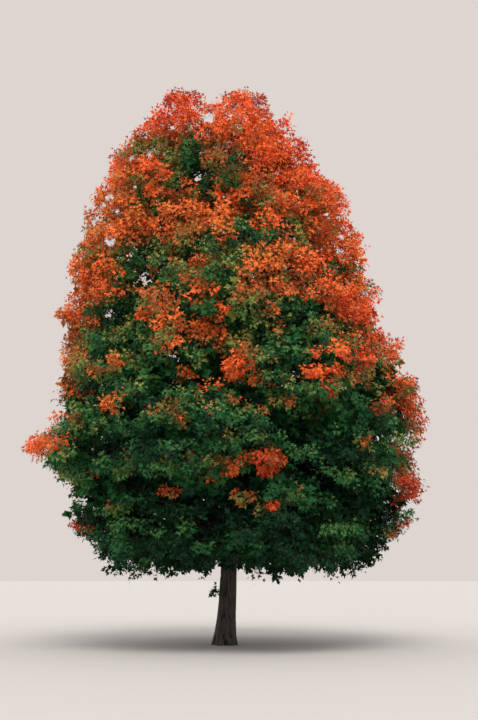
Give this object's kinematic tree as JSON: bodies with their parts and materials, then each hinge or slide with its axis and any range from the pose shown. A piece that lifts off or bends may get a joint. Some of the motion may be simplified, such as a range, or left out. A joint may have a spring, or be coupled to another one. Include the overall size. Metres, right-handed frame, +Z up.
{
  "type": "red maple tree",
  "caption": "Open-grown red maple in early autumn colour, with a short clear trunk, an egg-shaped crown of tiered foliage and a double top.",
  "frame": {"origin": "centre of the flat cut under the trunk, at ground level", "axes": "+Z up the trunk, -Y towards the picture's viewer, +X to the viewer's right"},
  "size_m": [9.4363, 9.3873, 13.2516],
  "materials": {
    "bark": "rough furrowed dark grey-brown bark, matt",
    "orange_leaves": "orange-red autumn leaves, soft sheen",
    "turning_leaves": "leaves turning from green through olive and russet, soft sheen",
    "green_leaves": "green leaves of the inner and lower crown, soft sheen"
  },
  "bodies": {
    "root": {"trunk": "bark", "left_leader": "bark", "skirt_bough_1": "bark", "skirt_bough_2": "bark", "low_bough_1": "bark", "low_bough_2": "bark", "low_bough_3": "bark", "broad_bough_1": "bark", "broad_bough_2": "bark", "broad_bough_3": "bark", "middle_bough_1": "bark", "middle_bough_2": "bark", "middle_bough_3": "bark", "shoulder_bough_1": "bark", "shoulder_bough_2": "bark", "upper_bough_1": "bark", "upper_bough_2": "bark", "high_bough_1": "bark", "high_bough_2": "bark", "skirt_foliage_1": "green_leaves", "skirt_foliage_2": "green_leaves", "skirt_foliage_3": "green_leaves", "skirt_foliage_4": "green_leaves", "skirt_foliage_5": "green_leaves", "low_foliage_1": "green_leaves", "low_foliage_2": "green_leaves", "low_foliage_3": "green_leaves", "low_foliage_4": "green_leaves", "low_foliage_5": "green_leaves", "low_foliage_6": "green_leaves", "low_foliage_7": "green_leaves", "broad_foliage_1": "turning_leaves", "broad_foliage_2": "turning_leaves", "broad_foliage_3": "turning_leaves", "broad_foliage_4": "turning_leaves", "broad_foliage_5": "turning_leaves", "broad_foliage_6": "turning_leaves", "middle_foliage_1": "turning_leaves", "middle_foliage_2": "turning_leaves", "middle_foliage_3": "turning_leaves", "middle_foliage_4": "turning_leaves", "middle_foliage_5": "turning_leaves", "middle_foliage_6": "turning_leaves", "shoulder_foliage_1": "turning_leaves", "shoulder_foliage_2": "turning_leaves", "shoulder_foliage_3": "turning_leaves", "shoulder_foliage_4": "turning_leaves", "shoulder_foliage_5": "turning_leaves", "upper_foliage_1": "orange_leaves", "upper_foliage_2": "orange_leaves", "upper_foliage_3": "orange_leaves", "upper_foliage_4": "orange_leaves", "high_foliage_1": "orange_leaves", "high_foliage_2": "orange_leaves", "high_foliage_3": "orange_leaves", "high_foliage_4": "orange_leaves", "top_left_foliage": "orange_leaves", "top_right_foliage": "orange_leaves"}
  },
  "joints": []
}
